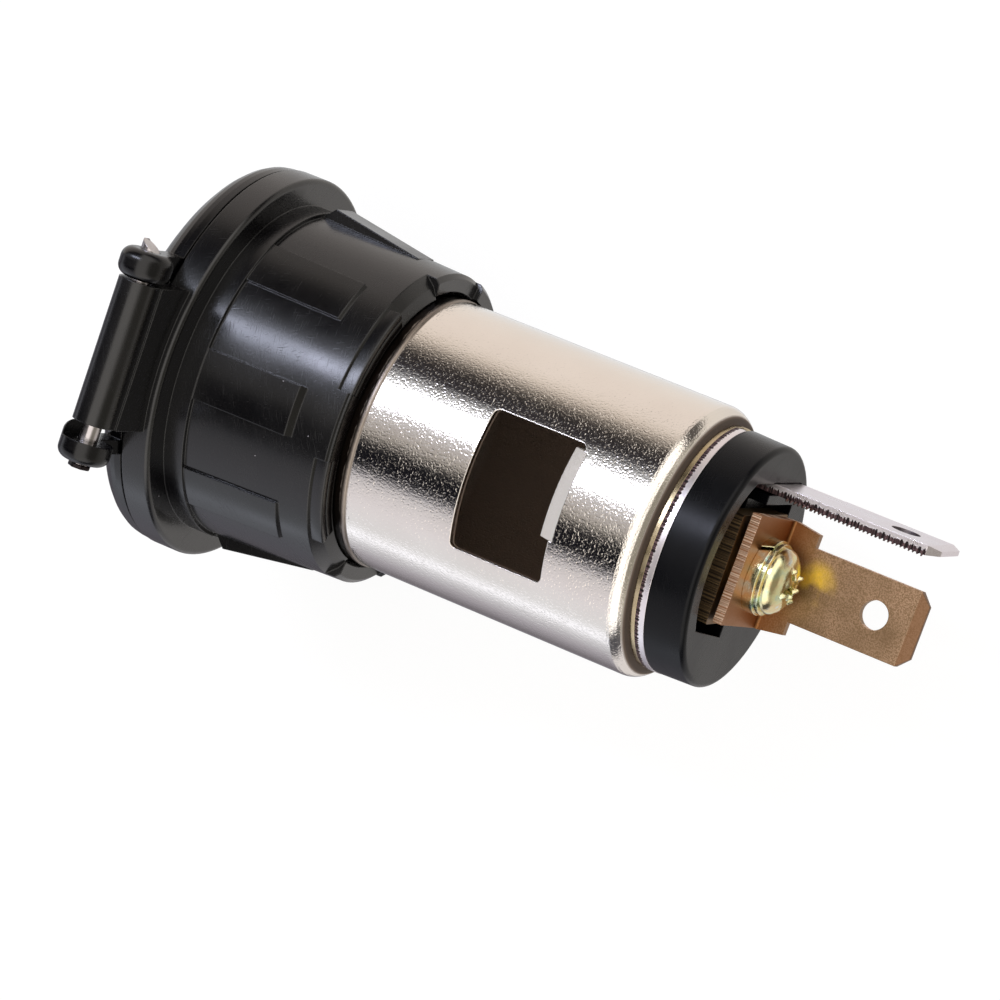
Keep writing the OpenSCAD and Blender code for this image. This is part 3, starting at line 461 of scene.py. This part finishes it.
def pick(piece, kind, test):
    # in edit mode: selects just the faces or edges that pass a test on their place or normal
    bpy.ops.mesh.select_mode(type=kind)
    bpy.ops.mesh.select_all(action="DESELECT")
    mesh = bmesh.from_edit_mesh(piece.data)
    for part in (mesh.faces if kind == "FACE" else mesh.edges):
        part.select_set(test(part))
    bmesh.update_edit_mesh(piece.data)


def settle(piece, name, look, body):
    # the last steps of every piece: at the origin, unturned, smooth, finished and riding on its body
    bpy.ops.object.mode_set(mode="OBJECT")
    bpy.ops.object.select_all(action="DESELECT")
    piece.select_set(True)
    bpy.context.view_layer.objects.active = piece
    bpy.ops.object.transform_apply(location=True, rotation=True, scale=True)
    bpy.ops.object.shade_smooth_by_angle(angle=math.radians(smoothBelow))
    piece.name = name
    if not piece.data.materials:
        piece.data.materials.append(look)
    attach(piece, body)


collarLip = {
    "rings": [(11.72, 12.54), (12.62, 13.27)],   # mm, inner and outer radius, with a fine groove between
    "back": 13.3,                                 # mm behind the panel
    "front": 14.48,
    "from": 12.7,                                 # degrees from the top, past the land there
    "to": 72.8,
    "round": 0.1,
}


def buildCollarLip(p):
    # the collar's rear end between its lands: two low rings, swept round the plug axis
    for number, (inner, outer) in enumerate(p["rings"]):
        for side in (1, -1):
            bpy.ops.object.select_all(action="DESELECT")
            bpy.ops.mesh.primitive_plane_add(size=mm, rotation=(0, math.pi / 2, 0),
                                             location=(0, (p["back"] + p["front"]) / 2 * mm,
                                                       (inner + outer) / 2 * mm))
            ring = bpy.context.active_object
            bpy.ops.object.transform_apply(location=False, rotation=True, scale=False)
            bpy.ops.object.mode_set(mode="EDIT")
            bpy.ops.transform.resize(value=(1, p["front"] - p["back"], outer - inner))
            bpy.ops.mesh.select_mode(type="VERT")
            bpy.ops.mesh.bevel(offset=p["round"] * mm, segments=3, affect="VERTICES")
            bpy.ops.mesh.select_all(action="SELECT")
            bpy.ops.mesh.spin(steps=40, angle=side * math.radians(p["to"] - p["from"]),
                              center=(0, 0, 0), axis=(0, 1, 0))
            bpy.ops.mesh.select_all(action="SELECT")
            bpy.ops.mesh.normals_make_consistent(inside=False)
            bpy.ops.object.mode_set(mode="OBJECT")
            bpy.ops.object.transform_apply(location=True, rotation=False, scale=False)
            ring.rotation_euler = (0, side * math.radians(p["from"]), 0)
            settle(ring, "collarLip%d%s" % (number + 1, "ab"[side < 0]), finishes["housing"],
                   "socket")


screwHead = {
    "radius": 2.75,
    "from": 48.35,       # mm behind the panel, the underside of the head
    "rim": 0.25,
    "crown": 1.4,
    "shank": (1.48, 5.95),
    "wing": (0.95, 1.5, 3.5),     # mm, cutter of one wing: width, depth and span
    "wingTaper": 0.45,
    "wingTurn": 28,
    "burr": (0.34, 0.12, 0.5),    # mm, radius at the root and at the tip, and height
    "burrRound": 0.06,
    "burrRagged": 0.05,
    "burrs": [(28, 1.5), (118, 1.35), (160, 0.75), (208, 1.45), (298, 1.5), (75, 0.8)],   # angle, mm out
}


def buildScrew(p):
    # pan head screw: a flattened dome with its shank, a tapered cross recess, and the burrs that
    # the driver raised round it
    bpy.ops.object.select_all(action="DESELECT")
    equator = (p["from"] + p["rim"]) * mm
    bpy.ops.mesh.primitive_uv_sphere_add(segments=72, ring_count=36, radius=p["radius"] * mm,
                                         location=(0, equator, 0), rotation=(math.pi / 2, 0, 0))
    screw = bpy.context.active_object
    bpy.ops.object.transform_apply(location=False, rotation=True, scale=False)
    bpy.ops.object.mode_set(mode="EDIT")
    bpy.ops.transform.resize(value=(1, p["crown"] / p["radius"], 1))
    bpy.ops.mesh.bisect(plane_co=(0, equator, 0), plane_no=(0, 1, 0), use_fill=True, clear_inner=True)
    pick(screw, "FACE", lambda face: face.normal.y < -0.99)
    bpy.ops.mesh.extrude_region_move(TRANSFORM_OT_translate={"value": (0, -p["rim"] * mm, 0)})
    bpy.ops.mesh.inset(thickness=(p["radius"] - p["shank"][0]) * mm)
    bpy.ops.mesh.extrude_region_move(TRANSFORM_OT_translate={"value": (0, -p["shank"][1] * mm, 0)})
    bpy.ops.mesh.select_all(action="SELECT")
    bpy.ops.mesh.normals_make_consistent(inside=False)
    bpy.ops.object.mode_set(mode="OBJECT")
    top = (p["from"] + p["rim"] + p["crown"]) * mm
    for turn in (p["wingTurn"], p["wingTurn"] + 90):
        bpy.ops.object.select_all(action="DESELECT")
        bpy.ops.mesh.primitive_cube_add(size=mm, location=(0, top - 0.4 * mm, 0),
                                        rotation=(0, math.radians(turn), 0))
        wing = bpy.context.active_object
        wing.scale = p["wing"]
        bpy.ops.object.transform_apply(location=False, rotation=True, scale=True)
        bpy.ops.object.mode_set(mode="EDIT")
        pick(wing, "FACE", lambda face: face.normal.y < -0.99)
        bpy.ops.transform.resize(value=(p["wingTaper"], 1, p["wingTaper"]))
        bpy.ops.object.mode_set(mode="OBJECT")
        bpy.ops.object.select_all(action="DESELECT")
        bpy.context.view_layer.objects.active = screw
        screw.select_set(True)
        cut = screw.modifiers.new("recess", "BOOLEAN")
        cut.operation = "DIFFERENCE"
        cut.object = wing
        bpy.ops.object.modifier_apply(modifier=cut.name)
        bpy.data.objects.remove(wing)
    root, tip, tall = (v * mm for v in p["burr"])
    burrs = []
    for number, (turn, out) in enumerate(p["burrs"]):
        a = math.radians(turn)
        height = p["crown"] * math.sqrt(1 - (out / p["radius"]) ** 2)
        bpy.ops.object.select_all(action="DESELECT")
        bpy.ops.mesh.primitive_cone_add(vertices=6, radius1=root, radius2=tip, depth=tall,
                                        location=(out * math.sin(a) * mm,
                                                  (p["from"] + p["rim"] + height + 0.08) * mm,
                                                  out * math.cos(a) * mm),
                                        rotation=(-math.pi / 2, 0.5 * number, 0.35))
        burr = bpy.context.active_object
        bpy.ops.object.mode_set(mode="EDIT")
        bpy.ops.mesh.bevel(offset=p["burrRound"] * mm, segments=2, affect="EDGES")
        bpy.ops.transform.vertex_random(offset=p["burrRagged"] * mm, seed=number)
        bpy.ops.object.mode_set(mode="OBJECT")
        burrs.append(burr)
    for piece in burrs + [screw]:
        piece.select_set(True)
    bpy.context.view_layer.objects.active = screw
    bpy.ops.object.join()
    settle(screw, "terminalScrew", finishes["terminal_screw"], "socket")
    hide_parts("terminal_screw")


tornEdge = {
    "count": 34,
    "pitch": 0.36,                      # mm
    "first": (-6.36, 47.2, 0.48),       # mm, on the ground blade's inner corner
    "tooth": (0.2, 0.05, 0.34),         # mm, radius at the root and at the tip, and length
    "round": 0.03,
    "ragged": 0.075,
}


def buildTornEdge(p):
    # the burr that blanking left along the ground blade: one tooth, repeated and made ragged
    root, tip, length = (v * mm for v in p["tooth"])
    bpy.ops.object.select_all(action="DESELECT")
    bpy.ops.mesh.primitive_cone_add(vertices=5, radius1=root, radius2=tip, depth=length,
                                    location=[v * mm for v in p["first"]], rotation=(0.3, math.pi / 2, 0))
    burr = bpy.context.active_object
    bpy.ops.object.transform_apply(location=False, rotation=True, scale=False)
    row = burr.modifiers.new("row", "ARRAY")
    row.count = p["count"]
    row.use_relative_offset = False
    row.use_constant_offset = True
    row.constant_offset_displace = (0, p["pitch"] * mm, 0)
    bpy.ops.object.modifier_apply(modifier=row.name)
    bpy.ops.object.mode_set(mode="EDIT")
    bpy.ops.mesh.select_all(action="SELECT")
    bpy.ops.mesh.bevel(offset=p["round"] * mm, segments=1, affect="EDGES")
    bpy.ops.transform.vertex_random(offset=p["ragged"] * mm, seed=5)
    settle(burr, "groundBladeBurr", turnedMetal("tornSteel", "#8a7071", "#241819", 0.35, 0.4),
           "socket")


hingePin = {
    "from": -9.3,
    "to": 9.35,
    "radius": 0.8,
    "place": (-2.6, 20.4),        # mm, Y and Z of the hinge axis
    "slant": 30,
    "head": (0.95, 9.33, 9.7),    # mm, radius, from, to
    "headRound": 0.09,
}


def buildPin(p):
    # hinge pin: bright drawn shank with one end sheared at a slant, and a black faceted head
    y, z = (v * mm for v in p["place"])
    bpy.ops.object.select_all(action="DESELECT")
    bpy.ops.mesh.primitive_cylinder_add(vertices=40, radius=p["radius"] * mm, depth=(p["to"] - p["from"]) * mm,
                                        location=((p["to"] + p["from"]) / 2 * mm, y, z),
                                        rotation=(0, math.pi / 2, 0))
    shank = bpy.context.active_object
    bpy.ops.object.transform_apply(location=True, rotation=True, scale=False)
    shank.data.materials.append(finishes["hinge_pin"])
    bpy.ops.object.mode_set(mode="EDIT")
    a = math.radians(p["slant"])
    bpy.ops.mesh.bisect(plane_co=(p["from"] * mm, y - p["radius"] * mm, z),
                        plane_no=(math.cos(a), -math.sin(a), 0), use_fill=True, clear_inner=True)
    bpy.ops.object.mode_set(mode="OBJECT")
    bpy.ops.object.select_all(action="DESELECT")
    radius, start, end = p["head"]
    bpy.ops.mesh.primitive_cylinder_add(vertices=7, radius=radius * mm, depth=(end - start) * mm,
                                        location=((start + end) / 2 * mm, y, z),
                                        rotation=(0, math.pi / 2, 0))
    head = bpy.context.active_object
    head.data.materials.append(turnedMetal("darkSteel", "#3a3436", "#0d0b0c", 0.25, 0.5))
    bpy.ops.object.mode_set(mode="EDIT")
    bpy.ops.mesh.bevel(offset=p["headRound"] * mm, segments=2, affect="EDGES")
    bpy.ops.object.mode_set(mode="OBJECT")
    shank.select_set(True)
    bpy.context.view_layer.objects.active = shank
    bpy.ops.object.join()
    settle(shank, "hingePin", None, "socket")
    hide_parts("hinge_pin")


buildCollarLip(collarLip)
buildScrew(screwHead)
buildTornEdge(tornEdge)
buildPin(hingePin)
print("collar lip, screw, torn edge and hinge pin modelled")

studio = {
    "floorSize": 1.6,     # metres
    "floorColour": "#f4f3f2",
    "floorGlow": 1.08,    # white to the camera
    "floorShare": 0.84,   # of it, the rest takes the shadow
    "strength": 1.3,
    "mattShare": 0.75,    # what matt surfaces get of it, so that the level stays plain
    # what the tube mirrors, by angle round the plug axis: 0 is above, 90 is +X, -90 is -X
    "bands": [(-180, "#d6d8da"), (-165, "#d2d1d1"), (-147, "#d6d0cb"), (-123, "#d8cfc9"), (-99, "#d6cdc7"),
              (-92, "#cec5bd"), (-86, "#b9b0a8"), (-80, "#8b847d"), (-74, "#4c4846"), (-68, "#2a2828"),
              (-56, "#2d2b30"), (-50, "#5a5a60"), (-44, "#b4b7bc"), (-38, "#d4d9df"), (-20, "#cdd1d8"),
              (-13, "#bcbcc1"), (-7, "#a9a6a8"), (5, "#98948f"), (11, "#3b3a3c"), (17, "#111217"),
              (30, "#121217"), (36, "#38383d"), (41, "#ababb2"), (48, "#c3c1c6"), (66, "#d0ced5"),
              (90, "#cfd2d8"), (102, "#e2e6ee"), (108, "#c4c7cf"), (126, "#9997a0"), (150, "#625e63"),
              (158, "#6c696e"), (168, "#96969c")],
    # the strip lamp, which black plastic shows as a streak, and a weak one on the other side
    "lamps": [(-35, 0), (-32, 1), (-25, 1), (-22, 0), (94, 0), (97, 0.03), (101, 0.03), (104, 0)],
    "lampGain": 11,
    "lampColour": "#e3e8ff",
    "lampReach": (-0.75, -0.55, -0.2, -0.08),   # from and to along the plug axis, with soft ends
    # a soft box over the terminals, with a dark strip along each side that the tube shows from
    # there, the wall behind them, and the table below
    "box": [(-180, "#c9c5c1"), (-118, "#d2ccc5"), (-110, "#56524f"), (-92, "#4a4644"), (-84, "#e4dfd9"),
            (-70, "#f4efe9"), (70, "#f4efe9"), (84, "#e0dfe0"), (92, "#46464b"), (112, "#525257"),
            (120, "#cfcdcf"), (180, "#c9c5c1")],
    "boxFrom": (-0.26, -0.1),
    "boxGain": 1.4,
    "wall": [(-180, "#c9c5c1"), (-100, "#b5b0a6"), (-60, "#88847a"), (60, "#88847a"), (100, "#b5b0a6"),
             (180, "#c9c5c1")],
    "wallFrom": (0.45, 0.8),
}


def buildStudio(p):
    world = bpy.data.worlds.new("studio")
    bpy.context.scene.world = world
    world.use_nodes = True
    tree = world.node_tree
    tree.nodes.clear()
    direction = addNode(tree, "TexCoord").outputs["Generated"]
    split = addNode(tree, "SeparateXYZ", {0: direction})
    turn = addNode(tree, "Math", {0: split.outputs["X"], 1: split.outputs["Z"]}, operation="ARCTAN2")
    turn = addNode(tree, "MapRange", {"Value": turn, "From Min": -math.pi, "From Max": math.pi})
    bands = addNode(tree, "ValToRGB", {0: turn}, [((a + 180) / 360, hexColour(c)) for a, c in p["bands"]])
    lamps = addNode(tree, "ValToRGB", {0: turn}, [((a + 180) / 360, (v, v, v, 1)) for a, v in p["lamps"]])
    reach = p["lampReach"]
    starts = addNode(tree, "MapRange", {"Value": split.outputs["Y"], "From Min": reach[0],
                                        "From Max": reach[1]})
    stops = addNode(tree, "MapRange", {"Value": split.outputs["Y"], "From Min": reach[3], "From Max": reach[2],
                                       "To Max": p["lampGain"]})
    gain = addNode(tree, "Math", {0: starts, 1: stops}, operation="MULTIPLY")
    lamps = addNode(tree, "VectorMath", {0: lamps, 1: hexColour(p["lampColour"])[:3]}, operation="MULTIPLY")
    lamps = addNode(tree, "VectorMath", {0: lamps, 3: gain}, operation="SCALE")
    box = addNode(tree, "ValToRGB", {0: turn}, [((a + 180) / 360, hexColour(c)) for a, c in p["box"]])
    above = addNode(tree, "MapRange", {"Value": split.outputs["Z"], "From Min": 0.0, "From Max": 0.15,
                                       "To Min": 1.0, "To Max": p["boxGain"]})
    box = addNode(tree, "VectorMath", {0: box, 3: above}, operation="SCALE")
    wall = addNode(tree, "ValToRGB", {0: turn}, [((a + 180) / 360, hexColour(c)) for a, c in p["wall"]])
    beyond = addNode(tree, "MapRange", {"Value": split.outputs["Y"], "From Min": p["boxFrom"][0],
                                        "From Max": p["boxFrom"][1]}, interpolation_type="SMOOTHSTEP")
    ending = addNode(tree, "MapRange", {"Value": split.outputs["Y"], "From Min": p["wallFrom"][0],
                                        "From Max": p["wallFrom"][1]}, interpolation_type="SMOOTHSTEP")
    colour = addNode(tree, "Mix", {0: beyond, 6: bands, 7: box}, data_type="RGBA")
    colour = addNode(tree, "Mix", {0: ending, 6: colour, 7: wall}, data_type="RGBA")
    colour = addNode(tree, "Mix", {0: 1.0, 6: colour, 7: lamps}, data_type="RGBA", blend_type="ADD")
    path = addNode(tree, "LightPath")
    share = addNode(tree, "MapRange", {"Value": path.outputs["Is Glossy Ray"],
                                       "To Min": p["mattShare"] * p["strength"], "To Max": p["strength"]})
    lit = addNode(tree, "Background", {"Color": colour, "Strength": share})
    seen = addNode(tree, "Background", {"Color": (1, 1, 1, 1), "Strength": 1.0})
    both = addNode(tree, "MixShader", {0: path.outputs["Is Camera Ray"], 1: lit, 2: seen})
    addNode(tree, "OutputWorld", {"Surface": both})


def buildFloor(p):
    # plain pale table: white to the camera, with the object's shadow, and open to reflections
    made, tree = newMaterial("paleTable")
    matt = addNode(tree, "BsdfDiffuse", {"Color": hexColour(p["floorColour"])})
    glow = addNode(tree, "Emission", {"Color": (1, 1, 1, 1), "Strength": p["floorGlow"]})
    openTo = addNode(tree, "BsdfTransparent")
    path = addNode(tree, "LightPath")
    camera = addNode(tree, "Math", {0: path.outputs["Is Camera Ray"], 1: p["floorShare"]}, operation="MULTIPLY")
    table = addNode(tree, "MixShader", {0: camera, 1: matt, 2: glow})
    mirrored = addNode(tree, "Math", {0: path.outputs["Is Glossy Ray"], 1: path.outputs["Is Transmission Ray"]},
                       operation="MAXIMUM")
    both = addNode(tree, "MixShader", {0: mirrored, 1: table, 2: openTo})
    addNode(tree, "OutputMaterial", {"Surface": both})
    bpy.ops.mesh.primitive_plane_add(size=p["floorSize"], location=(0, 0.026, cadLow[2] - 0.0002))
    floor = bpy.context.active_object
    floor.name = "floor"
    floor.data.materials.append(made)


bpy.ops.object.select_all(action="DESELECT")
buildStudio(studio)
buildFloor(studio)

photoCamera = {
    "lens": 171.17,
    "place": (-0.05328, 0.16692, 0.35184),
    "right": (-0.3232, 0.8578, -0.3996),
    "down": (0.9351, 0.3543, 0.0042),
    "ahead": (0.1452, -0.3723, -0.9167),
}


def placeCamera(p):
    view = bpy.data.cameras.new("photoCamera")
    view.lens = p["lens"]
    view.sensor_width = 36
    view.clip_start = 0.01
    view.clip_end = 10
    made = bpy.data.objects.new("photoCamera", view)
    bpy.context.scene.collection.objects.link(made)
    turned = Matrix([p["right"], [-v for v in p["down"]], [-v for v in p["ahead"]]]).transposed().to_4x4()
    made.matrix_world = Matrix.Translation(p["place"]) @ turned
    bpy.context.scene.camera = made


placeCamera(photoCamera)
bpy.context.scene.view_settings.view_transform = "Standard"
print("studio and camera set")
